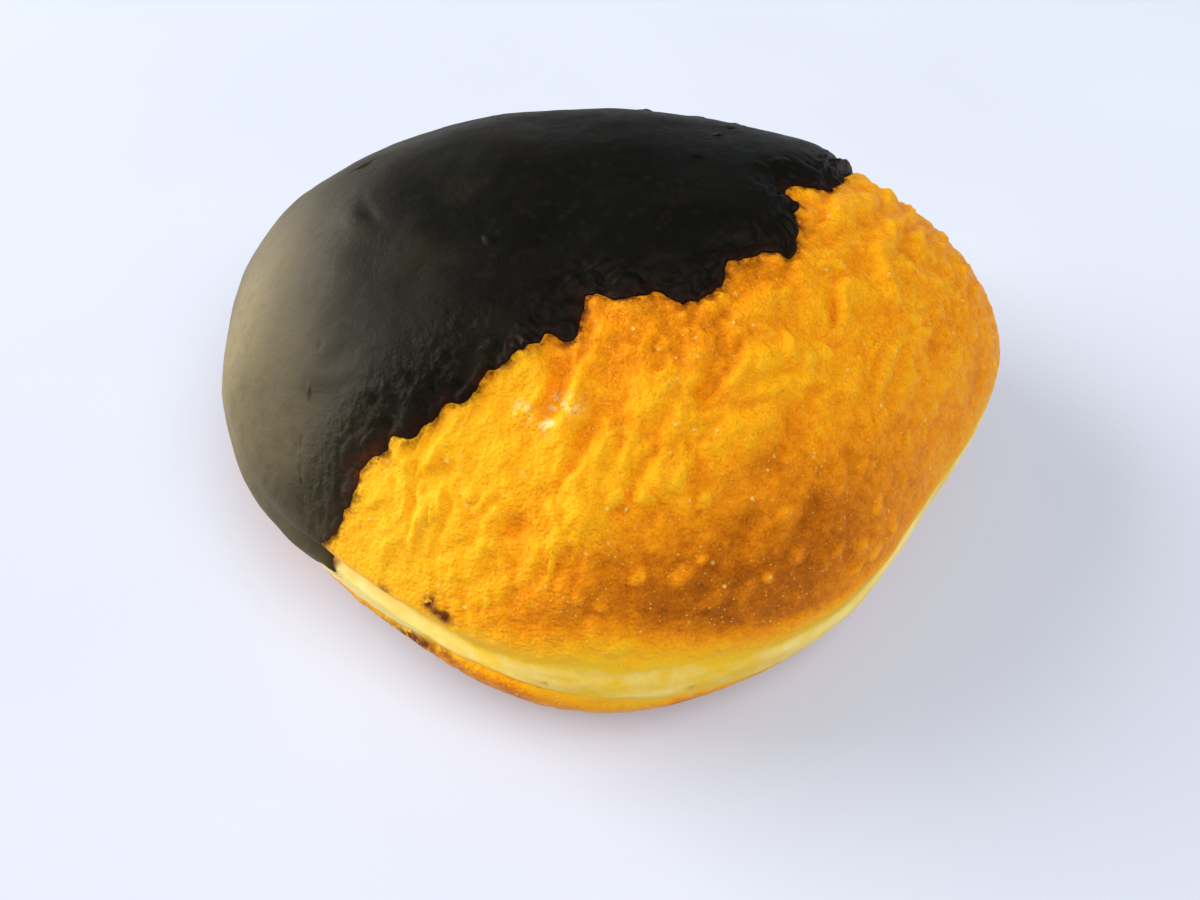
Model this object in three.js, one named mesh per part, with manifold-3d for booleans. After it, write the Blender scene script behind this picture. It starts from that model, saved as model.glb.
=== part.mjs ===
// A malasada: one fried bun, and the chocolate coat set over the half of it that was dipped.
// Millimetres, +Z up. X runs along the bun's long side, and the origin is the middle of its
// footprint on the surface that it rests on.
import * as THREE from 'three';
import { mergeVertices } from 'three/addons/utils/BufferGeometryUtils.js';
import Module from 'manifold-3d';

// Driving dimensions of the bun.
const BUN_HEIGHT = 41.2;
const MEAN_RADIUS = 47.3;
// How far the plan outline swells out of round: `count` waves of `swell` mm, a crest at `at` degrees.
const LOBES = [
  { count: 2, swell: 4.3, at: 3.5 },
  { count: 3, swell: 2.6, at: 30 },
  { count: 4, swell: 0.85, at: 5 },
  { count: 5, swell: 0.6, at: 9 },
  { count: 6, swell: 0.3, at: 13 },
  { count: 7, swell: 0.45, at: 8 },
];
const LIP_HEIGHT = { front: 15, back: 17 }; // the widest line, where the lower cap meets the waist
const SHOULDER = { front: 1.4, back: 2.3 }; // 1 slopes straight down to the lip, 2 is a round side
const CROWN = 2.3; // above 2, the crown is flatter than an ellipse
const CAP_FULLNESS = 0.8; // 1 makes the lower cap's side an ellipse, less makes it fuller
const FLAT_SPOT = 0.42; // the resting spot's share of the bun's radius
const FLAT_FROM = 0.75; // the climb, below the lip, at which the resting spot starts
const WAIST_DENT = { depth: 1.0, above: 0.15, width: 0.07 }; // where the crust tucks in over the waist

// Driving dimensions of the chocolate.
const COAT_GAP = 0.3;
const COAT_THICKNESS = 1.0;
const COAT_LOWER_EDGE = 12; // the chocolate stops this far above the resting surface
const COAT_REACH = 80; // beyond every side of the bun
// The chocolate's edge seen from above, from the right-hand back to the left-hand front.
const DIP_LINE = [
  [70, 58], [44, 34], [33, 21], [22, 11], [21, 1], [14, -3], [10, -9],
  [-1, -10], [-5, -15], [-14, -19.5], [-25, -25], [-31, -30], [-34, -40], [-38, -62],
];
const DIP_LINE_STEPS = 52;

// How finely the skins are divided.
const COLUMNS = 72;
const RINGS = { crown: 17, cap: 9, flat: 1 };

const wasm = await Module();
wasm.setup();

// 1 on the side at -90 degrees, falling smoothly to about 0 on the opposite side.
function frontShare(angle) {
  const TURN = 2 * Math.PI;
  const NARROWING = 1.2;
  const away = Math.abs(THREE.MathUtils.euclideanModulo(angle + 0.75 * TURN, TURN) - TURN / 2);
  return 0.5 + 0.5 * Math.cos(Math.min(away / NARROWING, Math.PI));
}

function planRadius(angle) {
  let radius = MEAN_RADIUS;
  for (const { count, swell, at } of LOBES) {
    radius += swell * Math.cos(count * (angle - THREE.MathUtils.degToRad(at)));
  }
  return radius;
}

// The waist dent is deepest at the left-hand front and fades out at the front.
function waistDent(angle, climb) {
  const share = 1 - 0.8 * frontShare(angle + 0.25);
  const offset = (climb - WAIST_DENT.above) / WAIST_DENT.width;
  return WAIST_DENT.depth * share * Math.exp(-offset * offset);
}

// A point of the bun's skin. `climb` runs from -1 in the middle of the resting spot, through 0 at
// the lip, to 1 on the crown.
function skinPoint(angle, climb) {
  const share = frontShare(angle);
  const lip = THREE.MathUtils.lerp(LIP_HEIGHT.back, LIP_HEIGHT.front, share);
  let reach;
  let height;
  if (climb >= 0) {
    const power = 1 / THREE.MathUtils.lerp(SHOULDER.back, SHOULDER.front, share);
    reach = Math.cos(climb * Math.PI / 2);
    height = lip + (BUN_HEIGHT - lip) * Math.pow(Math.max(1 - Math.pow(reach, CROWN), 0), power);
  } else if (-climb < FLAT_FROM) {
    const turn = -climb / FLAT_FROM * Math.PI / 2;
    reach = FLAT_SPOT + (1 - FLAT_SPOT) * Math.pow(Math.cos(turn), CAP_FULLNESS);
    height = lip * (1 - Math.pow(Math.sin(turn), CAP_FULLNESS));
  } else {
    reach = FLAT_SPOT * (1 + climb) / (1 - FLAT_FROM);
    height = 0;
  }
  const radius = Math.max(reach * planRadius(angle) - waistDent(angle, climb), 0);
  return new THREE.Vector3(radius * Math.cos(angle), radius * Math.sin(angle), height);
}

function skinNormal(angle, climb) {
  const STEP = 0.01;
  if (climb > 1 - STEP) return new THREE.Vector3(0, 0, 1);
  if (climb < STEP - FLAT_FROM) return new THREE.Vector3(0, 0, -1);
  const along = skinPoint(angle + STEP, climb).sub(skinPoint(angle - STEP, climb));
  const up = skinPoint(angle, climb + STEP).sub(skinPoint(angle, climb - STEP));
  return along.cross(up).normalize();
}

// The climb of each ring of vertices, from the crown down to the middle of the resting spot.
function ringClimbs() {
  const climbs = [];
  for (let i = 0; i <= RINGS.crown; i += 1) climbs.push(1 - i / RINGS.crown);
  for (let i = 1; i <= RINGS.cap; i += 1) climbs.push(-FLAT_FROM * i / RINGS.cap);
  for (let i = 1; i <= RINGS.flat; i += 1) climbs.push(-FLAT_FROM - (1 - FLAT_FROM) * i / RINGS.flat);
  return climbs;
}

// A sphere moved out to the bun's skin, `swell` mm proud of it.
function skinGeometry(swell) {
  const climbs = ringClimbs();
  const geometry = new THREE.SphereGeometry(1, COLUMNS, climbs.length - 1);
  geometry.rotateX(Math.PI / 2);
  const position = geometry.getAttribute('position');
  const direction = new THREE.Vector3();
  for (let i = 0; i < position.count; i += 1) {
    direction.fromBufferAttribute(position, i);
    const fromCrown = Math.acos(THREE.MathUtils.clamp(direction.z, -1, 1)) / Math.PI;
    const ring = Math.round(fromCrown * (climbs.length - 1));
    const angle = Math.atan2(direction.y, direction.x);
    const point = skinPoint(angle, climbs[ring]);
    point.addScaledVector(skinNormal(angle, climbs[ring]), swell);
    position.setXYZ(i, point.x, point.y, point.z);
  }
  return positionsOnly(geometry);
}

// An upright block over the dipped half: the dip line on one side, and well outside the bun elsewhere.
function dippedSide() {
  const line = new THREE.SplineCurve(DIP_LINE.map(([x, y]) => new THREE.Vector2(x, y)));
  const outline = new THREE.Shape(line.getPoints(DIP_LINE_STEPS));
  outline.lineTo(-COAT_REACH, -COAT_REACH);
  outline.lineTo(-COAT_REACH, COAT_REACH);
  outline.lineTo(COAT_REACH, COAT_REACH);
  const block = new THREE.ExtrudeGeometry(outline, { depth: COAT_REACH, bevelEnabled: false });
  block.translate(0, 0, COAT_LOWER_EDGE);
  return positionsOnly(block);
}

function positionsOnly(geometry) {
  geometry.deleteAttribute('normal');
  geometry.deleteAttribute('uv');
  return mergeVertices(geometry);
}

function toSolid(geometry) {
  const vertProperties = new Float32Array(geometry.getAttribute('position').array);
  const triVerts = new Uint32Array(geometry.getIndex().array);
  return new wasm.Manifold(new wasm.Mesh({ numProp: 3, vertProperties, triVerts }));
}

function toGeometry(solid) {
  const { vertProperties, triVerts } = solid.getMesh();
  const geometry = new THREE.BufferGeometry();
  geometry.setAttribute('position', new THREE.BufferAttribute(vertProperties, 3));
  geometry.setIndex(new THREE.BufferAttribute(triVerts, 1));
  return geometry;
}

function coatGeometry() {
  const outside = toSolid(skinGeometry(COAT_GAP + COAT_THICKNESS));
  const inside = toSolid(skinGeometry(COAT_GAP));
  return toGeometry(outside.subtract(inside).intersect(toSolid(dippedSide())));
}

function piece(name, geometry, material) {
  geometry.computeVertexNormals();
  const mesh = new THREE.Mesh(geometry, material);
  mesh.name = name;
  return mesh;
}

const crust = new THREE.MeshStandardMaterial({ color: 0xd98a1e, roughness: 0.6, metalness: 0 });
const chocolate = new THREE.MeshStandardMaterial({ color: 0x241d1a, roughness: 0.45, metalness: 0 });

const malasada = new THREE.Group();
malasada.add(piece('fried_bun', skinGeometry(0), crust));
malasada.add(piece('chocolate_coat', coatGeometry(), chocolate));

// Stand the middle of the footprint on the origin.
const footprint = new THREE.Box3().setFromObject(malasada).getCenter(new THREE.Vector3());
malasada.position.set(-footprint.x, -footprint.y, 0);

export default malasada;
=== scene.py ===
"""A fried malasada, half dipped in chocolate, on a pale table under soft studio light.

The dough and the chocolate are two closed meshes. Both follow one smooth skin, which is the frame's
bun, and move off it by the folds, blisters, creases and dents of the crust. Shapes are worked out in
millimetres round the bun's middle and moved into the frame's metres when a mesh is made.

A place on the skin is an angle, in degrees round the bun with -90 at the front, and a climb, which
runs from -1 in the middle of the resting spot, through 0 at the widest line, to 1 on the crown.
"""
import math

import bpy
import numpy as np
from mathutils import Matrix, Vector, kdtree


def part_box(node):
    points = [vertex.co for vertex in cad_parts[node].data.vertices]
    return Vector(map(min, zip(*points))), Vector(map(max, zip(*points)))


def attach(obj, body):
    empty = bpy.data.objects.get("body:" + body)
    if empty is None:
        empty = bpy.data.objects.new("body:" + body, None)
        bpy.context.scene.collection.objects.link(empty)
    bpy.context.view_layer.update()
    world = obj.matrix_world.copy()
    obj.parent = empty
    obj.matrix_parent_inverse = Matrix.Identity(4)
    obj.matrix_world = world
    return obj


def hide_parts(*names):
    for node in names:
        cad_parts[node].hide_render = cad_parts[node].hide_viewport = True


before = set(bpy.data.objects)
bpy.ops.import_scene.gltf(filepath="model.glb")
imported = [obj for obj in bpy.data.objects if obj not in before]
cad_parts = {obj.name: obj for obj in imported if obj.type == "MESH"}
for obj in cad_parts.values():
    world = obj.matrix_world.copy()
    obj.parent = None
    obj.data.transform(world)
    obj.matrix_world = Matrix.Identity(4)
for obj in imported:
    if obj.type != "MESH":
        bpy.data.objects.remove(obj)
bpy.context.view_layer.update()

MM = 0.001
FRONT = -90.0  # the angle of the front

# The smooth skin: the same driving sizes as the frame's bun.
BUN_LOW, BUN_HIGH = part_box("fried_bun")
BUN_HEIGHT = (BUN_HIGH[2] - BUN_LOW[2]) / MM
MEAN_RADIUS = 47.3
LOBES = [  # waves round the outline, how far they swell, and the angle of a crest
    (2, 4.3, 3.5), (3, 2.6, 30.0), (4, 0.85, 5.0), (5, 0.6, 9.0), (6, 0.3, 13.0), (7, 0.45, 8.0),
]
LIP_FRONT, LIP_BACK = 15.0, 17.0
SHOULDER_FRONT, SHOULDER_BACK = 1.4, 2.3
CROWN = 2.3
CAP_FULLNESS = 0.8
FLAT_SPOT = 0.42
FLAT_FROM = 0.75

# The chocolate.
COAT_THICKNESS = 1.0
COAT_EDGE_ROUND = 4.0  # how far in from its edge the coat reaches its full thickness
CHOCOLATE_STAIN = 0.8  # how far the chocolate has smeared on the crust beside its edge
COAT_SINK = 0.5  # how far the coat's inner side lies in the dough
COAT_RIM_THICKNESS = 0.45
COAT_DENT = 0.8
COAT_MIDDLE = (135.0, 0.5)
# Its edge as places on the skin: first the scalloped line from the right-hand back, over the crown and
# down the left-hand front, then the line that runs back round the hidden side, under the waist.
COAT_EDGE_FRONT = [
    (37, 0.40), (33, 0.50), (29, 0.57), (28, 0.63), (28, 0.70), (19, 0.725), (8, 0.74), (-3, 0.745),
    (-5, 0.79), (-12, 0.805), (-17, 0.825), (-28, 0.81), (-40, 0.81), (-47, 0.82), (-54, 0.83),
    (-60, 0.86), (-71, 0.86), (-91, 0.86), (-106, 0.87), (-109, 0.83), (-107, 0.79), (-109, 0.77),
    (-116, 0.765), (-119, 0.73), (-123, 0.70), (-126, 0.65), (-127, 0.60), (-130, 0.57), (-131, 0.53),
    (-132, 0.49), (-135, 0.47), (-135.5, 0.43), (-137, 0.38), (-136, 0.34), (-136, 0.27), (-136, 0.20),
    (-137.5, 0.13), (-136, 0.06), (-135, 0.015),
]
COAT_EDGE_LOW = [
    (-138, -0.01), (-143, -0.05), (-150, -0.08),
    (-160, -0.15), (-170, -0.13), (178, -0.20), (166, -0.16), (155, -0.21), (143, -0.15), (131, -0.24),
    (120, -0.17), (108, -0.20), (95, -0.12), (84, -0.17), (72, -0.10), (62, -0.05), (54, 0.05),
    (48, 0.13), (44, 0.24), (40, 0.32),
]

# Folds that stand out in the crust: depth (a ridge if below 0), half width, and places along it.
FOLDS = [
    (0.85, 1.3, [(-105, 0.80), (-108, 0.72), (-107, 0.66), (-108, 0.61)]),
    (-0.45, 1.3, [(-100, 0.76), (-102, 0.70), (-103, 0.65)]),
    (0.45, 1.2, [(-92, 0.72), (-95, 0.65), (-98, 0.60), (-100, 0.55)]),
    (0.55, 1.2, [(-103, 0.52), (-106, 0.45), (-108, 0.41)]),
    (-0.45, 1.4, [(-91, 0.56), (-96, 0.50), (-99, 0.44)]),
    (0.40, 1.2, [(-120, 0.52), (-124, 0.43), (-125, 0.39)]),
    (0.85, 1.4, [(-42, 0.76), (-52, 0.73), (-62, 0.68), (-68, 0.65)]),
    (0.45, 1.1, [(-11, 0.66), (-16, 0.63), (-22, 0.60)]),
    (0.40, 1.3, [(-33, 0.58), (-45, 0.55), (-56, 0.51), (-63, 0.51), (-71, 0.47)]),
    (0.45, 1.2, [(-4, 0.45), (-8, 0.42), (-14, 0.39)]),
    (0.35, 1.3, [(2, 0.30), (-5, 0.25), (-14, 0.18)]),
    (0.40, 1.2, [(-60, 0.47), (-67, 0.42), (-74, 0.38)]),
    (0.35, 1.1, [(-45, 0.43), (-52, 0.40), (-59, 0.35)]),
]
# Blisters and loose strands that stand out: place, half length, half width, height, and lean.
BLISTERS = [
    (-89, 0.53, 1.5, 0.9, 0.50, 55), (-84, 0.53, 1.2, 0.9, 0.55, 40), (-72, 0.50, 1.3, 0.9, 0.55, 60),
    (-99, 0.40, 2.2, 0.5, 0.40, 78), (-85, 0.39, 1.4, 0.9, 0.45, 65), (-74, 0.40, 1.1, 0.6, 0.35, 20),
    (-64, 0.32, 0.9, 0.9, 0.35, 0), (-78, 0.38, 2.0, 1.3, 0.30, 50), (-58, 0.33, 1.4, 1.2, 0.25, 30),
    (-73, 0.32, 2.2, 1.4, 0.22, 60), (-68, 0.31, 1.8, 1.3, 0.22, 45), (-48, 0.20, 2.2, 0.4, 0.30, 48),
    (-117, 0.31, 1.3, 0.5, 0.35, 62), (-108, 0.29, 1.3, 0.5, 0.30, 75), (-112, 0.16, 1.4, 0.4, 0.20, 10),
    (-94, 0.35, 0.7, 0.6, 0.25, 0), (-113, 0.63, 1.4, 0.9, 0.20, 50), (-105, 0.67, 1.2, 0.9, 0.20, 60),
    (-101, 0.67, 1.2, 0.8, 0.20, 60), (-106, 0.63, 1.3, 0.9, 0.20, 20),
]
# Where dry dough dusts the crust, and where it is scorched: place, radius, strength.
DUSTINGS = [(-113, 0.63, 0.9, 1.0), (-105, 0.67, 1.0, 0.9), (-101, 0.67, 0.9, 0.8), (-106, 0.63, 0.9, 0.8)]
SCORCHES = [
    (-117, 0.20, 0.9, 1.5), (-115.5, 0.19, 0.7, 1.3), (-114, 0.19, 0.9, 1.4), (-124.5, 0.15, 0.8, 1.1),
    (-77, 0.02, 0.35, 0.6), (-98, 0.08, 0.3, 0.5), (32, 0.62, 0.8, 0.6), (28, 0.60, 0.7, 0.5),
]
# Pits and dents in the chocolate: place, radius, depth.
COAT_PITS = [
    (153, 0.49, 0.5, 0.5), (-149, 0.32, 0.6, 0.3), (-148, 0.28, 0.5, 0.25), (-151, 0.33, 0.4, 0.25),
    (-142, 0.51, 0.7, 0.5), (-139, 0.58, 0.7, 0.45), (-136, 0.64, 0.6, 0.4), (120, 0.45, 0.5, 0.4),
    (60, 0.55, 0.5, 0.35), (100, 0.2, 0.5, 0.4), (-160, 0.48, 0.5, 0.15), (178, 0.42, 0.5, 0.15),
    (166, 0.36, 0.5, 0.15), (-170, 0.3, 0.5, 0.15),
]
COAT_FOLDS = [
    (-0.2, 1.1, [(168, 0.55), (172, 0.585), (178, 0.63)]),
    (0.18, 0.5, [(165, 0.57), (169, 0.6), (175, 0.64)]),
    (-0.2, 1.3, [(-158, 0.42), (-152, 0.48), (-150, 0.54)]),
    (0.22, 0.8, [(150, 0.3), (158, 0.33), (163, 0.38)]),
    (0.2, 0.7, [(-163, 0.25), (-158, 0.2), (-150, 0.17)]),
]

# Where the dome's browned crust ends above the pale waist, and where the browned lower cap begins:
# the angle round the bun and the climb there.
CREASE_LINE = [
    (-150, 0.135), (-136, 0.125), (-120, 0.13), (-108, 0.165), (-92, 0.205), (-76, 0.17), (-62, 0.105),
    (-45, 0.085), (-25, 0.08), (0, 0.075), (40, 0.09), (100, 0.12),
]
CAP_LINE = [
    (-160, -0.1), (-144, -0.13), (-132, -0.12), (-122, -0.08), (-114, -0.02), (-104, 0.005), (-95, -0.025),
    (-80, -0.065), (-60, -0.13), (-20, -0.16), (20, -0.1), (70, -0.04), (120, -0.06),
]

# The crust's relief, in millimetres.
FOLD_LEAN = 58.0  # the direction that most folds run in, seen from above, in degrees
FOLD_HEIGHT = 1.5
FINE_FOLD_HEIGHT = 0.8
NAMED_FOLD_HEIGHT = 1.5  # what the depths in FOLDS are multiplied by
PEBBLE_HEIGHT = 0.2
LUMP_HEIGHT, LUMP_SIZE = 0.45, 24
SMALL_BLISTERS = 170

# The dough's grid: denser where it is bare. Each band of rings has two climbs and a number of rings.
BARE_FROM, BARE_TO = -150.0, 62.0
COLUMNS_BARE, COLUMNS_COATED = 430, 110
RINGS_DOUGH = [(1.0, 0.9, 12), (0.9, 0.0, 126), (0.0, -FLAT_FROM, 42), (-FLAT_FROM, -1.0, 4)]
# The coat's grid.
COAT_COLUMNS_FRONT, COAT_COLUMNS_LOW = 440, 280
COAT_RINGS_OUT, COAT_RINGS_IN = 120, 14
CURVE_STEPS = 24  # to each corner of the coat's edge

# The camera: its place from the bun's middle, in millimetres, and its turns, in degrees. It looks down
# over the front, about 34 degrees off straight down.
CAMERA_PLACE = (-1.66, -80.9, 114.5)
CAMERA_TURNS = (34.396, -1.541, 1.804)
CAMERA_LENS = 27.5

# The studio, in metres and watts: each light's place, size, power and tint.
TABLE_HALF = 4.0
LIGHTS = [
    ("window", (-2.1, 0.6, 1.1), (1.7, 1.5), 56.0, (1.0, 0.99, 0.97)),
    ("sill", (-1.7, 0.84, 0.26), (1.8, 0.52), 24.0, (1.0, 0.95, 0.84)),
    ("room", (0.7, -0.6, 2.0), (1.8, 1.8), 38.0, (0.97, 0.98, 1.0)),
]


# --- Noise -------------------------------------------------------------------------------------

def lattice_noise(points, seed):
    """Smooth gradient noise between about -1 and 1 at (..., 3) points, with a period of 256."""
    rng = np.random.default_rng(seed)
    shuffle = np.tile(rng.permutation(256), 2)
    slopes = rng.normal(size=(256, 3))
    slopes /= np.linalg.norm(slopes, axis=1)[:, None]
    cell = np.floor(points).astype(int)
    part = points - cell
    cell &= 255
    ease = part ** 3 * (part * (part * 6 - 15) + 10)
    total = np.zeros(points.shape[:-1])
    for corner in np.ndindex(2, 2, 2):
        x, y, z = ((cell[..., k] + corner[k]) & 255 for k in range(3))
        slope = slopes[shuffle[shuffle[shuffle[x] + y] + z]]
        weight = np.ones(points.shape[:-1])
        for k in range(3):
            weight *= ease[..., k] if corner[k] else 1 - ease[..., k]
        total += weight * np.sum(slope * (part - corner), axis=-1)
    return total * 1.6


def layered_noise(points, size, seed, layers=3):
    """Noise whose largest lumps are `size` across, with each finer layer half as strong."""
    total = np.zeros(points.shape[:-1])
    for k in range(layers):
        total += 0.5 ** k * lattice_noise(points * (2 ** k / size), seed + k)
    return total


def ease_between(x, low, high):
    """0 below low, 1 above high, smooth between; low may be the larger."""
    t = np.clip((x - low) / (high - low), 0, 1)
    return t * t * (3 - 2 * t)


def bell(x, middle, width):
    return np.exp(-((x - middle) / width) ** 2)


def turn_from(angle, middle):
    """How many degrees an angle lies from another, from -180 to 180."""
    return (angle - middle + 180) % 360 - 180


def bell_round(angle, middle, width):
    """A bell over the angles round the bun."""
    return bell(turn_from(angle, middle), 0, width)


# --- The smooth skin ---------------------------------------------------------------------------

def front_share(angle):
    """1 at the front, easing to 0 at the back."""
    away = np.abs(turn_from(angle, FRONT))
    return 0.5 + 0.5 * np.cos(np.minimum(np.radians(away) / 1.2, math.pi))


def plan_radius(angle):
    """The widest line's distance from the middle."""
    radius = np.full(np.shape(angle), MEAN_RADIUS)
    for count, swell, at in LOBES:
        radius += swell * np.cos(count * np.radians(angle - at))
    return radius


def skin(angle, climb):
    """Points of the smooth skin, in millimetres round the bun's middle."""
    angle, climb = np.broadcast_arrays(np.asarray(angle, float), np.asarray(climb, float))
    share = front_share(angle)
    lip = LIP_BACK + (LIP_FRONT - LIP_BACK) * share
    power = 1 / (SHOULDER_BACK + (SHOULDER_FRONT - SHOULDER_BACK) * share)
    reach_up = np.cos(np.clip(climb, 0, 1) * math.pi / 2)
    height_up = lip + (BUN_HEIGHT - lip) * np.clip(1 - reach_up ** CROWN, 0, 1) ** power
    turn = np.clip(-climb / FLAT_FROM, 0, 1) * math.pi / 2
    reach_down = FLAT_SPOT + (1 - FLAT_SPOT) * np.clip(np.cos(turn), 0, 1) ** CAP_FULLNESS
    height_down = lip * (1 - np.sin(turn) ** CAP_FULLNESS)
    on_flat = climb < -FLAT_FROM
    reach_down = np.where(on_flat, FLAT_SPOT * (1 + climb) / (1 - FLAT_FROM), reach_down)
    reach = np.where(climb >= 0, reach_up, reach_down)
    height = np.where(climb >= 0, height_up, height_down)
    radius = reach * plan_radius(angle)
    return np.stack([radius * np.cos(np.radians(angle)), radius * np.sin(np.radians(angle)), height], -1)


def skin_normal(angle, climb):
    """The directions that face straight out of the smooth skin."""
    angle, climb = np.broadcast_arrays(np.asarray(angle, float), np.asarray(climb, float))
    step = 0.012
    inner = np.clip(climb, -1 + 2 * step, 1 - 2 * step)
    along = skin(angle + 0.5, inner) - skin(angle - 0.5, inner)
    up = skin(angle, inner + step) - skin(angle, inner - step)
    normal = np.cross(along, up)
    return normal / np.linalg.norm(normal, axis=-1)[..., None]


# --- The crust ---------------------------------------------------------------------------------

def fold_shape(points, half_width, line):
    """1 along a line through places on the skin, weaker near its ends and falling off beside it."""
    corners = skin(*np.array(line, float).T)
    nearest = np.full(points.shape[:-1], np.inf)
    along = np.zeros(points.shape[:-1])
    for k in range(len(corners) - 1):
        start, run = corners[k], corners[k + 1] - corners[k]
        t = np.clip(np.sum((points - start) * run, -1) / np.sum(run ** 2), 0, 1)
        distance = np.linalg.norm(points - start - t[..., None] * run, axis=-1)
        along = np.where(distance < nearest, (k + t) / (len(corners) - 1), along)
        nearest = np.minimum(nearest, distance)
    fade = np.clip(np.sin(along * math.pi), 0.25, 1)
    return fade * np.exp(-(nearest / half_width) ** 2)


def near(points, angle, climb, radius):
    """1 at a place on the skin, falling off round it."""
    distance = np.linalg.norm(points - skin(angle, climb), axis=-1)
    return np.exp(-(distance / radius) ** 2)


def strongest(points, spots):
    """How strongly some spots mark each point. A spot has a place, a radius and a strength."""
    level = np.zeros(points.shape[:-1])
    for angle, climb, radius, strength in spots:
        level = np.maximum(level, strength * near(points, angle, climb, radius))
    return level


def blister_shape(points, angle, climb, half_length, half_width, lean):
    """1 on top of one raised spot of the crust, falling to 0 at its rim."""
    offset = points - skin(angle, climb)
    normal = skin_normal(angle, climb)
    run = np.array([math.cos(math.radians(lean)), math.sin(math.radians(lean)), 0.0])
    run -= normal * (run @ normal)
    run /= np.linalg.norm(run)
    across = np.cross(normal, run)
    # A strand bends a little, so its middle line is an arc.
    along = offset @ run / half_length
    beside = (offset @ across - 0.12 * half_length * along ** 2) / half_width
    this_side = np.abs(offset @ normal) < 4
    return np.clip(1 - along ** 2 - beside ** 2, 0, 1) ** 0.8 * this_side


def scattered_blisters():
    """Small blisters all over the bare dome, as rows like those in BLISTERS."""
    rng = np.random.default_rng(5)
    found = []
    while len(found) < SMALL_BLISTERS:
        angle, climb = rng.uniform(-150, 60), rng.uniform(0.16, 0.9)
        if rng.uniform() > math.cos(climb * math.pi / 2):
            continue  # fewer where the rings are small, so that they lie evenly
        size = rng.uniform(0.4, 0.75) * rng.choice([1.0, 1.0, 1.4])
        stretch = rng.choice([1.0, 1.3, 2.0])
        lean = FOLD_LEAN + rng.normal() * 18
        found.append((angle, climb, size * stretch, size, size * rng.uniform(0.15, 0.32), lean))
    return found


def line_climb(line, angle):
    """The climb, at each angle, of a line drawn round the bun."""
    at, climb = np.array(line, float).T
    return np.interp(angle, at, climb, period=360)


def waist_crease(angle, climb):
    """The fold where the dome hangs over the pale waist: sharp at the left-hand front, soft elsewhere."""
    sharp = bell_round(angle, -130, 22)
    right = bell_round(angle, -38, 26)
    back = 1 - ease_between(np.abs(turn_from(angle, 120)), 60, 110)
    line = line_climb(CREASE_LINE, angle)
    depth = 1.15 * sharp + 0.4 * right + 0.6 * back + 0.1
    width = 0.03 + 0.015 * (1 - sharp)
    groove = -depth * bell(climb, line - 0.035, width)
    overhang = (0.5 * sharp + 0.1) * bell(climb, line + 0.035, 0.045)
    return groove + overhang


def cap_edge(angle, points):
    """The climb where the browned lower cap begins."""
    return line_climb(CAP_LINE, angle) + 0.012 * layered_noise(points, 9, 71, 2)


def lower_lip(angle, climb, points):
    """The browned lower cap's edge, which stands a little proud of the waist."""
    line = cap_edge(angle, points)
    shown = bell_round(angle, -106, 24) + 0.25
    step = ease_between(climb, line + 0.02, line - 0.015)
    step *= 1 - ease_between(climb, line - 0.05, line - 0.3)
    return 0.6 * shown * step - 0.2 * shown * bell(climb, line + 0.03, 0.02)


def running_folds(points, climb, bend):
    """Folds that run one way over the dome: rounded ridges with narrow troughs between them."""
    x, y, z = np.moveaxis(points + 3.2 * bend, -1, 0)
    lean = math.radians(FOLD_LEAN)
    run = x * math.cos(lean) + y * math.sin(lean)
    across = x * math.sin(lean) * (1 + 0.35 * (x / 40) ** 2) - y * math.cos(lean)
    large_space = np.stack([across / 4.4, run / 7.6, z / 11.0], -1)
    small_space = np.stack([across / 2.1, run / 2.7, z / 3.2], -1)
    large = np.sqrt(lattice_noise(large_space, 21) ** 2 + 0.006) - 0.28
    small = np.sqrt(lattice_noise(small_space, 22) ** 2 + 0.01) - 0.28
    # They are lower towards the right-hand front and near the waist.
    away = 0.63 * points[..., 0] - 0.77 * points[..., 1]
    share = (1 - 0.6 * ease_between(away, 14, 40)) * (0.35 + 0.65 * ease_between(climb, 0.2, 0.45))
    return share * (FOLD_HEIGHT * large + FINE_FOLD_HEIGHT * small)


def named_folds(points, folds):
    """How deep some folds cut in, each with its own depth, half width and line."""
    return sum(depth * fold_shape(points, half_width, line) for depth, half_width, line in folds)


def crust_blisters(points):
    """How high the blisters stand, and how much of each point is blister."""
    height = np.zeros(points.shape[:-1])
    share = np.zeros(points.shape[:-1])
    for angle, climb, half_length, half_width, rise, lean in BLISTERS + scattered_blisters():
        shape = blister_shape(points, angle, climb, half_length, half_width, lean)
        height += rise * shape
        share = np.maximum(share, shape * min(1.0, rise / 0.4))
    return height, share


def crust_scorch(points, angle, climb, bend):
    """Burnt specks over the waist, and the lower cap's burnt rim at the left-hand front."""
    rim_burn = bell_round(angle, -119, 8) * bell(climb, cap_edge(angle, points), 0.022)
    rim_burn *= 1.3 * (0.9 + 0.5 * layered_noise(points, 4, 61, 2))
    return np.clip(np.maximum(strongest(points + 0.4 * bend, SCORCHES), rim_burn), 0, 1)


def lumps(points):
    """Broad, shallow unevenness of the whole bun, which the coat follows too."""
    return LUMP_HEIGHT * layered_noise(points, LUMP_SIZE, 31, 2)


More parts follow.
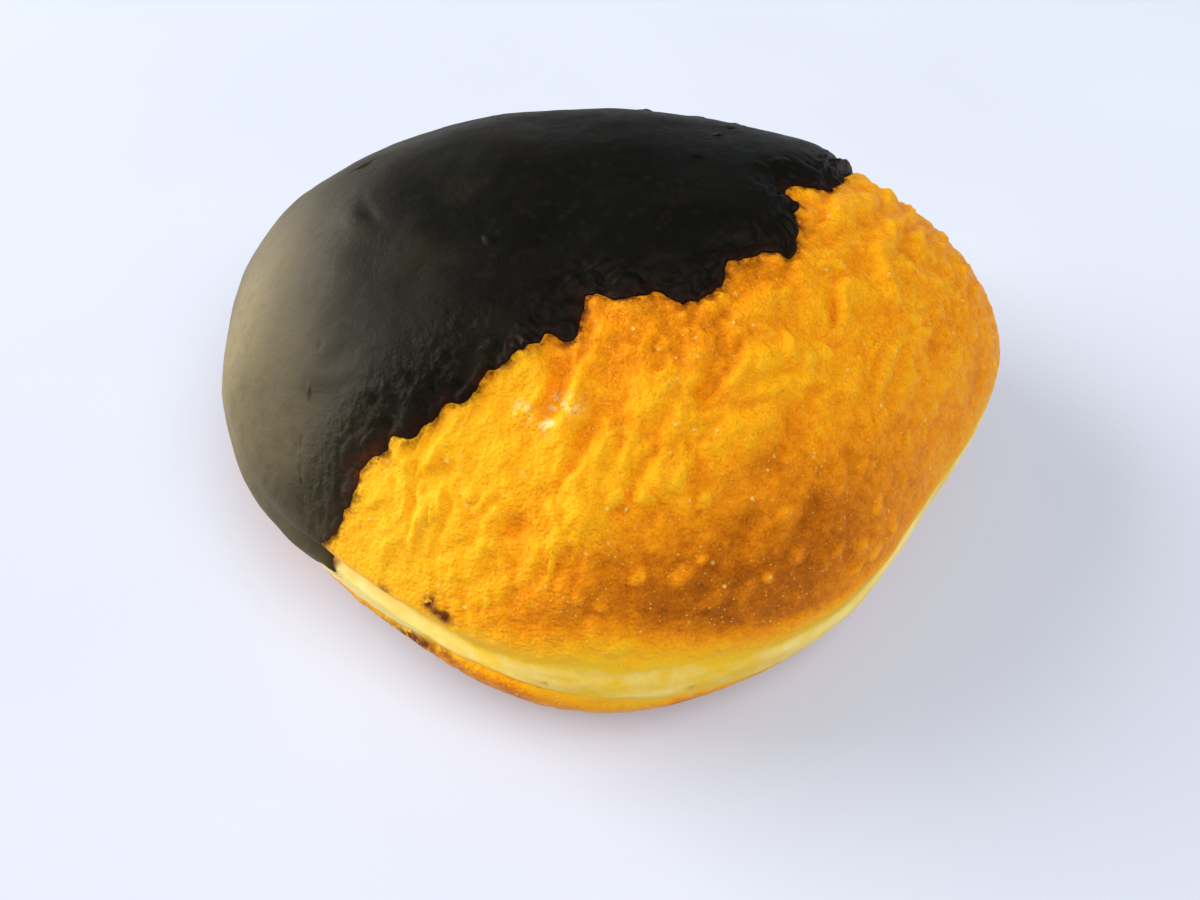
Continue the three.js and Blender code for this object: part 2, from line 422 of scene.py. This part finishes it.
def crust_marks(points, angle, climb):
    """How far each point of the dough stands off the smooth skin, and what the material paints there."""
    dome = ease_between(climb, 0.12, 0.24)
    cap = ease_between(climb, 0.0, -0.05)
    bend = np.stack([layered_noise(points, 13, 11 + k, 2) for k in range(3)], -1)
    pebbles = layered_noise(points, 1.7, 41, 2)
    folds = running_folds(points, climb, bend) - NAMED_FOLD_HEIGHT * named_folds(points + 0.5 * bend, FOLDS)
    blister_height, blister = crust_blisters(points)
    # Fine stretch lines run round the pale waist, and the underside is wrinkled.
    stretch_lines = 0.16 * layered_noise(points * [0.2, 0.2, 1], 1.1, 55, 2)
    wrinkles = np.abs(layered_noise(points * [1, 1, 1.6], 7, 51, 3)) - 0.3

    relief = dome * (folds + PEBBLE_HEIGHT * pebbles) + blister_height
    relief += (1 - dome) * (1 - cap) * stretch_lines
    off = lumps(points) + relief
    off += cap * (0.8 * ease_between(climb, -0.08, -0.3) * wrinkles + 0.12 * pebbles)
    off += waist_crease(angle, climb) + lower_lip(angle, climb, points)
    off *= ease_between(climb, -0.74, -0.5) * 0.9 + 0.1  # nearly smooth round the resting spot
    marks = {
        "toast": toast_level(points, angle, climb),
        "relief": relief,
        "blister": blister,
        "dust": strongest(points, DUSTINGS),
        "scorch": crust_scorch(points, angle, climb, bend),
    }
    return off, marks


def dome_toast(points, angle, climb):
    """The dome's brownness, which is deepest in a patch low on the front."""
    brown = 0.41 + 0.11 * np.clip(points[..., 0] / 50 + 0.4, 0, 1)
    brown += 0.33 * bell_round(angle, -69, 36) * bell(climb, 0.31, 0.22)
    brown += 0.14 * ease_between(climb, 0.66, 0.8)
    brown -= 0.05 * bell_round(angle, -60, 50) * bell(climb, 0.56, 0.12)
    brown += 0.12 * bell_round(angle, -95, 20) * bell(climb, 0.26, 0.1)
    brown -= 0.12 * bell_round(angle, -125, 28) * bell(climb, 0.35, 0.25)
    return brown


def toast_level(points, angle, climb):
    """How brown the dough fried: 0 is pale cream and 1 is dark brown."""
    wander = 0.02 * layered_noise(points, 12, 81, 2)
    front = bell_round(angle, -84, 26)
    sharp = bell_round(angle, -132, 22)
    waist = 0.05 + 0.05 * front + 0.05 * layered_noise(points * [0.5, 0.5, 1], 5, 95, 3)
    # The dome's colour fades into the waist, most slowly at the front.
    above = climb - line_climb(CREASE_LINE, angle) + wander * (0.4 + front)
    dome_share = ease_between(above, -0.055 - 0.015 * front, 0.04 + 0.03 * (1 - sharp) + 0.07 * front)
    level = waist + (dome_toast(points, angle, climb) - waist) * dome_share
    below = cap_edge(angle, points) - climb + 0.5 * wander
    cap_brown = 0.6 + 0.23 * ease_between(climb, -0.1, -0.6) + 0.16 * layered_noise(points, 13, 91, 3)
    return level + (cap_brown - level) * ease_between(below, -0.045, 0.025)


# --- The chocolate -----------------------------------------------------------------------------

def unrolled(angle, climb):
    """The skin laid out flat round the crown, so that lines on it can be drawn as plane curves."""
    out = 1 - np.asarray(climb, float)
    turn = np.radians(np.asarray(angle, float))
    return np.stack([out * np.cos(turn), out * np.sin(turn)], -1)


def rolled(places):
    """The angle and climb of places in the unrolled plane."""
    x, y = np.moveaxis(places, -1, 0)
    return np.degrees(np.arctan2(y, x)), 1 - np.hypot(x, y)


def closed_curve(corners):
    """A smooth closed curve through the corners."""
    t = np.linspace(0, 1, CURVE_STEPS, endpoint=False)[:, None]
    curve = []
    for k in range(len(corners)):
        p0, p1, p2, p3 = (corners[(k + j - 1) % len(corners)] for j in range(4))
        square = (2 * p0 - 5 * p1 + 4 * p2 - p3) * t ** 2
        cube = (3 * p1 - p0 - 3 * p2 + p3) * t ** 3
        curve.append(0.5 * (2 * p1 + (p2 - p0) * t + square + cube))
    return np.concatenate(curve)


def even_steps(line, count):
    """An open line cut into even steps, its last place left out."""
    length = np.concatenate([[0], np.cumsum(np.linalg.norm(np.diff(line, axis=0), axis=1))])
    even = np.linspace(0, length[-1], count, endpoint=False)
    return np.stack([np.interp(even, length, line[:, k]) for k in range(2)], -1)


def coat_outline():
    """The chocolate's edge in the unrolled plane, with the small waves that a set edge has."""
    curve = closed_curve(unrolled(*np.array(COAT_EDGE_FRONT + COAT_EDGE_LOW, float).T))
    front_end = CURVE_STEPS * (len(COAT_EDGE_FRONT) - 1)
    front = even_steps(curve[:front_end + 1], COAT_COLUMNS_FRONT)
    low = even_steps(np.vstack([curve[front_end:], curve[:1]]), COAT_COLUMNS_LOW)
    edge = np.vstack([front, low])
    points = skin(*rolled(edge))
    ray = edge - unrolled(*COAT_MIDDLE)
    ray /= np.linalg.norm(ray, axis=1)[:, None]
    waves = 0.009 * lattice_noise(points / 2.8, 101) + 0.006 * layered_noise(points, 1.6, 102, 2)
    return edge + ray * waves[:, None]


def coat_thickness(edge_distance, rise):
    """Rounded at the edge, thin beside it, and full where `rise` is 1."""
    rounded = np.clip(edge_distance / 0.7, 0, 1)
    at_rim = COAT_RIM_THICKNESS * np.sqrt(1 - (1 - rounded) ** 2)
    return at_rim + (COAT_THICKNESS - COAT_RIM_THICKNESS) * ease_between(rise, 0, 1) - 0.12


def coat_grain(angle, climb, edge_distance):
    """Where the chocolate set in a thin, half-dry layer over the folds near its edge, at the left."""
    grain = bell_round(angle, -137, 12) * ease_between(climb, 0.12, 0.3)
    grain *= 1 - ease_between(climb, 0.66, 0.8)
    return grain * (1 - ease_between(edge_distance, 5, 12))


def coat_pits(points):
    """How far the pits' low rims stand out and their middles sink in."""
    wobble = 0.25 * np.stack([lattice_noise(points / 1.2, 141 + k) for k in range(3)], -1)
    off = np.zeros(points.shape[:-1])
    for angle, climb, radius, depth in COAT_PITS:
        pit = near(points + wobble, angle, climb, radius)
        ring = near(points + wobble, angle, climb, radius * 1.9) - pit
        off += depth * (0.35 * ring - pit)
    return off


def coat_marks(points, angle, climb, edge_distance):
    """How far the chocolate stands off the smooth skin, and what its material paints there."""
    crust, _ = crust_marks(points, angle, climb)
    smooth_crust = lumps(points) + 0.45 * waist_crease(angle, climb)
    inward = ease_between(edge_distance, 0.3, 7.0)
    rise = np.clip(edge_distance / COAT_EDGE_ROUND, 0, 1)
    thickness = coat_thickness(edge_distance, rise)
    dents = COAT_DENT * layered_noise(points, 21, 111, 2) + 0.1 * layered_noise(points, 6, 121, 2)
    grain = coat_grain(angle, climb, edge_distance)
    crinkle = 0.34 * grain * (np.abs(layered_noise(points, 1.25, 131, 2)) - 0.3)

    # It follows every fold of the crust at its edge, and only the broad lumps further in.
    off = crust * (1 - inward) + (smooth_crust + 0.3) * inward + thickness + inward * dents
    off += rise * (crinkle + coat_pits(points) - named_folds(points, COAT_FOLDS))
    off = np.maximum(off, crust + np.minimum(thickness, 0.3))
    marks = {
        "rim": np.exp(-edge_distance / 0.9),
        "grain": grain,
        # painted sheen on the flanks, partly a bloom
        "sheen_and_bloom": coat_sheen_and_bloom(points, climb),
        "blush": bell_round(angle, -136, 5) * bell(climb, 0.38, 0.09),
    }
    return off, marks


def coat_sheen_and_bloom(points, climb):
    """Painted sheen on the chocolate's flanks, partly a cocoa-butter bloom: grey brown, most of all on the
    left-hand front flank, with lighter painted patches left of the middle.
    """
    left = ease_between(points[..., 0], -26, -54)
    flank = ease_between(climb, 0.66, 0.2)
    front = ease_between(points[..., 1], 32, -4)
    cloud = 0.55 + 0.45 * layered_noise(points, 19, 151, 2)
    patches = ease_between(layered_noise(points, 15, 161, 2), -0.1, 0.7)
    # The haze is painted sheen too, in patches left of the middle.
    haze = 0.05 * ease_between(points[..., 0], 0, -26) * patches
    return np.clip(flank * (0.2 + 0.8 * left * front) * cloud + 0.35 * left * front + haze, 0, 1)


def distance_to(points, edge_points):
    """How far each point lies from the nearest point of an edge."""
    tree = kdtree.KDTree(len(edge_points))
    for k, point in enumerate(edge_points):
        tree.insert(Vector(point), k)
    tree.balance()
    flat = points.reshape(-1, 3)
    return np.array([tree.find(Vector(p))[2] for p in flat]).reshape(points.shape[:-1])


# --- Meshes ------------------------------------------------------------------------------------

def frame_shift():
    """Where the bun's middle is in the frame: its smooth skin has to fill the CAD bun's box."""
    outline = skin(np.arange(0, 360, 0.5), 0.0)
    middle = (outline.min(0) + outline.max(0)) / 2
    x = (BUN_LOW[0] + BUN_HIGH[0]) / 2 - middle[0] * MM
    y = (BUN_LOW[1] + BUN_HIGH[1]) / 2 - middle[1] * MM
    return np.array([x, y, BUN_LOW[2]])


def grid_faces(count, columns):
    """The faces of a closed grid of `count` rings, whose first and last ring are one vertex each."""
    step = np.arange(columns)
    following = (step + 1) % columns
    ring_starts = 1 + np.arange(count - 2) * columns
    faces = []
    for upper, lower in zip(ring_starts[:-1], ring_starts[1:]):
        quads = np.stack([upper + step, lower + step, lower + following, upper + following], -1)
        faces.extend(quads.tolist())
    first, last = 0, 1 + (count - 2) * columns
    for a, b in zip(step.tolist(), following.tolist()):
        faces.append([first, 1 + a, 1 + b])
        faces.append([last - columns + a, last, last - columns + b])
    return faces


def flatten_rings(values):
    """One value for each vertex of a closed grid."""
    width = values.shape[2:]
    return np.concatenate([values[0, :1], values[1:-1].reshape(-1, *width), values[-1, :1]])


def close_rings(rings):
    """Draws the first ring together to one point, and the last ring too."""
    rings[0] = rings[0].mean(0)
    rings[-1] = rings[-1].mean(0)


def make_object(name, rings, marks, material, node):
    """A closed mesh from rings of points, with the marks as attributes for its material."""
    mesh = bpy.data.meshes.new(name)
    vertices = flatten_rings(rings) * MM + frame_shift()
    mesh.from_pydata(vertices.tolist(), [], grid_faces(*rings.shape[:2]))
    mesh.polygons.foreach_set("use_smooth", [True] * len(mesh.polygons))
    for mark, values in marks.items():
        attribute = mesh.attributes.new(mark, "FLOAT", "POINT")
        attribute.data.foreach_set("value", flatten_rings(values).astype(np.float32))
    mesh.validate()
    mesh.update()
    obj = bpy.data.objects.new(name, mesh)
    bpy.context.scene.collection.objects.link(obj)
    obj.data.materials.append(material)
    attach(obj, "root")
    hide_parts(node)


def make_dough():
    """The whole bun, which goes on under the chocolate."""
    coated_turn = 360 - (BARE_TO - BARE_FROM)
    bare = np.linspace(BARE_FROM, BARE_TO, COLUMNS_BARE, endpoint=False)
    coated = BARE_TO + np.linspace(0, coated_turn, COLUMNS_COATED, endpoint=False)
    bands = [np.linspace(start, end, count, endpoint=False) for start, end, count in RINGS_DOUGH]
    angle, climb = np.meshgrid(np.concatenate([bare, coated]), np.concatenate([*bands, [-1.0]]))
    points = skin(angle, climb)
    off, marks = crust_marks(points, angle, climb)
    edge = skin(*rolled(coat_outline()))
    marks["stain"] = np.exp(-(distance_to(points, edge) / CHOCOLATE_STAIN) ** 2)
    rings = points + skin_normal(angle, climb) * off[..., None]
    close_rings(rings)
    rings[..., 2] = np.maximum(rings[..., 2], 0)
    rings[climb <= -FLAT_FROM, 2] = 0
    make_object("crust", rings, marks, crust_material(), "fried_bun")


def make_coat():
    """The chocolate: rings run out from its middle to its edge, then back on its inner side."""
    edge = coat_outline()[::-1]  # counter-clockwise, so that the faces point out
    middle = unrolled(*COAT_MIDDLE)
    share_out = np.sin(np.linspace(0, 1, COAT_RINGS_OUT) * math.pi / 2) ** 0.8
    share_in = np.linspace(1, 0, COAT_RINGS_IN)
    share = np.concatenate([share_out, share_in])
    angle, climb = rolled(middle + share[:, None, None] * (edge - middle))
    points = skin(angle, climb)
    normal = skin_normal(angle, climb)
    out = COAT_RINGS_OUT
    edge_distance = distance_to(points[:out], points[out - 1])
    off, marks = coat_marks(points[:out], angle[:out], climb[:out], edge_distance)
    crust_in, _ = crust_marks(points[out:], angle[out:], climb[out:])
    off = np.concatenate([off, np.minimum(crust_in, 0) - COAT_SINK])
    rings = points + normal * off[..., None]
    close_rings(rings)
    # The inner side takes the marks of the edge.
    for mark, values in marks.items():
        marks[mark] = np.concatenate([values, np.repeat(values[-1:], COAT_RINGS_IN, 0)])
    make_object("chocolate", rings, marks, chocolate_material(), "chocolate_coat")


# --- Materials ---------------------------------------------------------------------------------

class Nodes:
    """A material's node tree, built one node at a time."""

    def __init__(self, name):
        self.material = bpy.data.materials.new(name)
        self.material.use_nodes = True
        self.tree = self.material.node_tree
        self.shader = next(n for n in self.tree.nodes if n.type == "BSDF_PRINCIPLED")

    def link(self, source, target):
        self.tree.links.new(source, target)

    def add(self, kind, inputs=None, **settings):
        node = self.tree.nodes.new(kind)
        for key, value in settings.items():
            setattr(node, key, value)
        for key, value in (inputs or {}).items():
            if isinstance(value, bpy.types.NodeSocket):
                self.link(value, node.inputs[key])
            else:
                node.inputs[key].default_value = value
        return node

    def attribute(self, name):
        return self.add("ShaderNodeAttribute", attribute_name=name).outputs["Fac"]

    def millimetres(self):
        """Places on the object, in millimetres."""
        place = self.add("ShaderNodeTexCoord").outputs["Object"]
        scale = (1 / MM, 1 / MM, 1 / MM)
        return self.add("ShaderNodeMapping", {"Vector": place, "Scale": scale}).outputs["Vector"]

    def noise(self, place, size, detail=2.0, roughness=0.5):
        inputs = {"Vector": place, "Scale": 1 / size, "Detail": detail, "Roughness": roughness}
        return self.add("ShaderNodeTexNoise", inputs).outputs["Fac"]

    def cells(self, place, spacing):
        return self.add("ShaderNodeTexVoronoi", {"Vector": place, "Scale": 1 / spacing, "Randomness": 1.0})

    def specks(self, place, spacing, radius, share_left_out):
        """Round specks, one to each irregular cell, with some of the cells left empty."""
        cells = self.cells(place, spacing)
        lot = self.add("ShaderNodeSeparateColor", {0: cells.outputs["Color"]}).outputs[0]
        filled = self.math("GREATER_THAN", lot, share_left_out)
        reach = radius / spacing
        return self.math("MULTIPLY", self.stretch(cells.outputs["Distance"], reach, reach * 0.4), filled)

    def math(self, operation, a, b=0.0, clamp=False):
        node = self.add("ShaderNodeMath", {0: a, 1: b}, operation=operation, use_clamp=clamp)
        return node.outputs[0]

    def stretch(self, value, from_low, from_high, to_low=0.0, to_high=1.0):
        """A value carried from one range to another, kept inside it."""
        inputs = {"Value": value, "From Min": from_low, "From Max": from_high}
        inputs |= {"To Min": to_low, "To Max": to_high}
        return self.add("ShaderNodeMapRange", inputs).outputs["Result"]

    def mix(self, share, a, b):
        node = self.add("ShaderNodeMix", data_type="RGBA")
        for socket, value in ((node.inputs[0], share), (node.inputs[6], a), (node.inputs[7], b)):
            if isinstance(value, bpy.types.NodeSocket):
                self.link(value, socket)
            else:
                socket.default_value = value
        return node.outputs[2]

    def ramp(self, value, stops):
        node = self.add("ShaderNodeValToRGB", {"Fac": value})
        elements = node.color_ramp.elements
        while len(elements) < len(stops):
            elements.new(0.5)
        for element, (position, colour) in zip(elements, stops):
            element.position = position
            element.color = colour
        return node.outputs["Color"]

    def bump(self, height, distance, under=None):
        inputs = {"Height": height, "Distance": distance, "Strength": 1.0}
        if under is not None:
            inputs["Normal"] = under
        return self.add("ShaderNodeBump", inputs).outputs["Normal"]


def colour(red, green, blue):
    """A linear colour from the 0 to 255 values that a screen shows."""
    def linear(v):
        v /= 255
        return v / 12.92 if v <= 0.04045 else ((v + 0.055) / 1.055) ** 2.4
    return (linear(red), linear(green), linear(blue), 1.0)


CREAM = colour(252, 230, 152)
BUTTER = colour(241, 194, 36)
GOLD = colour(255, 187, 26)
ORANGE = colour(255, 174, 14)
AMBER = colour(240, 144, 7)
TOASTED = colour(194, 105, 3)
BROWN = colour(120, 56, 5)
# The pale of the crust's raised specks, a painted glint.
SPECK_AND_GLINT = colour(255, 206, 96)
# The crust's colours, from pale dough at 0 to dark brown at 1.
CRUST_STOPS = [
    (0.0, CREAM), (0.14, BUTTER), (0.27, GOLD), (0.46, ORANGE), (0.62, AMBER), (0.8, TOASTED), (1.0, BROWN),
]
# What else marks the crust: the mesh's mark, how the freckles break it up, and its colour.
CRUST_PATCHES = [
    ("dust", (0.47, 0.6), colour(255, 232, 160)),
    ("scorch", (0.35, 0.48), colour(96, 40, 10)),
    ("stain", (0.38, 0.6, 0.15, 1.0), colour(92, 40, 6)),
]

COCOA_DARK = colour(3, 4, 3)
COCOA_LIGHT = colour(10, 9, 6)
COCOA_FLECK = colour(36, 27, 18)
# The grey brown of painted sheen on the chocolate's left flank, partly a bloom.
SHEEN_AND_BLOOM = colour(137, 123, 89)
THIN_EDGE = colour(56, 20, 9)
RED_EDGE = colour(110, 40, 14)


def crust_toast(m, place, freckle, grit, browned):
    """How brown each spot is: the mesh's own toast, with mottling and painted shade in the folds where the
    crust is fried.
    """
    mottle = m.noise(place, 5.5, 3)
    uneven = m.stretch(mottle, 0.3, 0.7, -0.045, 0.045)
    uneven = m.math("ADD", uneven, m.stretch(freckle, 0.3, 0.7, -0.05, 0.05))
    uneven = m.math("ADD", uneven, m.stretch(grit, 0.3, 0.7, -0.05, 0.05))
    # Troughs are painted browner as painted shade and ridges a little paler as painted light; blisters are
    # paler.
    uneven = m.math("SUBTRACT", uneven, m.stretch(m.attribute("relief"), -0.6, 0.4, -0.13, 0.04))
    uneven = m.math("SUBTRACT", uneven, m.stretch(m.attribute("blister"), 0.1, 0.8, 0.0, 0.14))
    toast = m.math("ADD", m.attribute("toast"), m.math("MULTIPLY", uneven, browned))
    return m.math("ADD", toast, m.stretch(m.noise(place, 2.4, 4, 0.6), 0.3, 0.7, -0.03, 0.03))


def crust_specks_and_glints(m, place, browned):
    """Pale specks on the fried crust, fine and coarse: raised grains painted pale as painted glints."""
    small = m.specks(place, 0.8, 0.16, 0.4)
    large = m.specks(place, 2.2, 0.34, 0.55)
    return m.math("MULTIPLY", m.math("MAXIMUM", small, large), m.math("MULTIPLY", browned, 0.8))


def crust_normal(m, place, grit, speck_and_glint, browned):
    """Pores and grit, finer than the mesh can hold."""
    pores = m.cells(place, 1 / 1.9).outputs["Distance"]
    normal = m.bump(m.math("MULTIPLY", m.noise(place, 0.9, 3, 0.6), browned), 0.3 * MM)
    normal = m.bump(m.math("MULTIPLY", m.math("SUBTRACT", 0.7, pores), browned), 0.16 * MM, normal)
    grit_height = m.math("MULTIPLY", grit, m.stretch(browned, 0.0, 1.0, 0.4, 1.0))
    normal = m.bump(grit_height, 0.14 * MM, normal)
    return m.bump(speck_and_glint, 0.12 * MM, normal)


def crust_material():
    m = Nodes("fried_crust")
    place = m.millimetres()
    freckle = m.noise(place, 1.3, 3, 0.6)
    grit = m.noise(place, 0.34, 2, 0.6)
    browned = m.stretch(m.attribute("toast"), 0.05, 0.4)
    speck_and_glint = crust_specks_and_glints(m, place, browned)

    base = m.ramp(crust_toast(m, place, freckle, grit, browned), CRUST_STOPS)
    # The raised specks are painted pale, as painted glints.
    base = m.mix(speck_and_glint, base, SPECK_AND_GLINT)
    for mark, freckle_range, marked in CRUST_PATCHES:
        share = m.math("MULTIPLY", m.attribute(mark), m.stretch(freckle, *freckle_range), clamp=True)
        base = m.mix(share, base, marked)
    m.link(base, m.shader.inputs["Base Color"])
    m.link(m.stretch(freckle, 0.3, 0.7, 0.42, 0.62), m.shader.inputs["Roughness"])
    m.link(crust_normal(m, place, grit, speck_and_glint, browned), m.shader.inputs["Normal"])
    m.shader.inputs["Specular IOR Level"].default_value = 0.18
    m.shader.inputs["Specular Tint"].default_value = (1.0, 0.74, 0.36, 1.0)
    m.shader.inputs["Subsurface Weight"].default_value = 0.25
    m.shader.inputs["Subsurface Radius"].default_value = (1.0, 0.45, 0.15)
    m.shader.inputs["Subsurface Scale"].default_value = 1.6 * MM
    return m.material


def chocolate_colour(m, cloud, fleck):
    """Nearly black, greyed by painted sheen that is partly a bloom, and reddish brown where it is thin at
    its edge.
    """
    rim = m.attribute("rim")
    base = m.mix(m.stretch(cloud, 0.35, 0.65), COCOA_DARK, COCOA_LIGHT)
    base = m.mix(m.math("MULTIPLY", m.stretch(fleck, 0.55, 0.75), 0.4), base, COCOA_FLECK)
    # Painted sheen, partly a bloom, greys the flanks.
    sheen_and_bloom_fleck = m.stretch(fleck, 0.25, 0.6, 0.7, 1.0)
    sheen_and_bloom = m.math("MULTIPLY", m.attribute("sheen_and_bloom"), sheen_and_bloom_fleck, clamp=True)
    base = m.mix(sheen_and_bloom, base, SHEEN_AND_BLOOM)
    thin = m.math("MULTIPLY", rim, m.stretch(fleck, 0.3, 0.7, 0.1, 0.6), clamp=True)
    base = m.mix(thin, base, THIN_EDGE)
    blush = m.math("MULTIPLY", m.attribute("blush"), m.math("POWER", rim, 0.7))
    blush = m.math("MULTIPLY", blush, m.stretch(fleck, 0.42, 0.62), clamp=True)
    return m.mix(m.math("MULTIPLY", blush, 0.7), base, RED_EDGE)


def chocolate_material():
    m = Nodes("set_chocolate")
    place = m.millimetres()
    cloud = m.noise(place, 14, 3)
    fleck = m.noise(place, 1.6, 3, 0.6)
    grit = m.noise(place, 0.4, 2, 0.6)
    grain = m.attribute("grain")
    m.link(chocolate_colour(m, cloud, fleck), m.shader.inputs["Base Color"])

    rough = m.math("ADD", m.stretch(cloud, 0.3, 0.7, 0.5, 0.58), m.math("MULTIPLY", grain, 0.08))
    rough = m.math("ADD", rough, m.stretch(fleck, 0.4, 0.7, -0.04, 0.06))
    m.link(rough, m.shader.inputs["Roughness"])
    normal = m.bump(m.noise(place, 2.2, 4, 0.6), 0.1 * MM)
    grit_share = m.math("ADD", m.math("MULTIPLY", grain, 2.0), 0.4)
    normal = m.bump(m.math("MULTIPLY", grit, grit_share), 0.08 * MM, normal)
    m.link(normal, m.shader.inputs["Normal"])
    m.shader.inputs["Specular IOR Level"].default_value = 0.09
    m.shader.inputs["Specular Tint"].default_value = (1.0, 0.92, 0.72, 1.0)
    return m.material


def table_material():
    m = Nodes("pale_table")
    place = m.millimetres()
    base = m.mix(m.noise(place, 60, 2), colour(209, 214, 227), colour(217, 222, 233))
    m.link(base, m.shader.inputs["Base Color"])
    m.shader.inputs["Roughness"].default_value = 0.9
    m.shader.inputs["Specular IOR Level"].default_value = 0.1
    return m.material


# --- The studio --------------------------------------------------------------------------------

def make_table():
    mesh = bpy.data.meshes.new("table")
    half = TABLE_HALF
    corners = [(-half, -half, 0), (half, -half, 0), (half, half, 0), (-half, half, 0)]
    mesh.from_pydata(corners, [], [(0, 1, 2, 3)])
    mesh.materials.append(table_material())
    table = bpy.data.objects.new("table", mesh)
    bpy.context.scene.collection.objects.link(table)


def make_light(name, location, size, power, tint):
    """A soft rectangle of light that faces the bun."""
    light = bpy.data.lights.new(name, "AREA")
    light.shape = "RECTANGLE"
    light.size, light.size_y = size
    light.energy = power
    light.color = tint
    obj = bpy.data.objects.new(name, light)
    bpy.context.scene.collection.objects.link(obj)
    obj.visible_camera = False
    obj.location = location
    towards = Vector((0, 0, BUN_HEIGHT * MM / 2)) - Vector(location)
    obj.rotation_euler = towards.to_track_quat("-Z", "Y").to_euler()


def make_lights():
    for name, location, size, power, tint in LIGHTS:
        make_light(name, location, size, power, tint)
    world = bpy.data.worlds.new("studio")
    world.use_nodes = True
    background = world.node_tree.nodes["Background"]
    background.inputs["Color"].default_value = (0.86, 0.9, 1.0, 1.0)
    background.inputs["Strength"].default_value = 0.25
    bpy.context.scene.world = world
    bpy.context.scene.view_settings.view_transform = "Standard"


def make_camera():
    camera = bpy.data.cameras.new("camera")
    camera.lens = CAMERA_LENS
    camera.sensor_width = 36.0
    camera.clip_start = 0.005
    obj = bpy.data.objects.new("camera", camera)
    obj.location = Vector(frame_shift()) + Vector(CAMERA_PLACE) * MM
    obj.rotation_euler = [math.radians(turn) for turn in CAMERA_TURNS]
    bpy.context.scene.collection.objects.link(obj)
    bpy.context.scene.camera = obj


make_camera()
make_lights()
make_table()
make_dough()
make_coat()
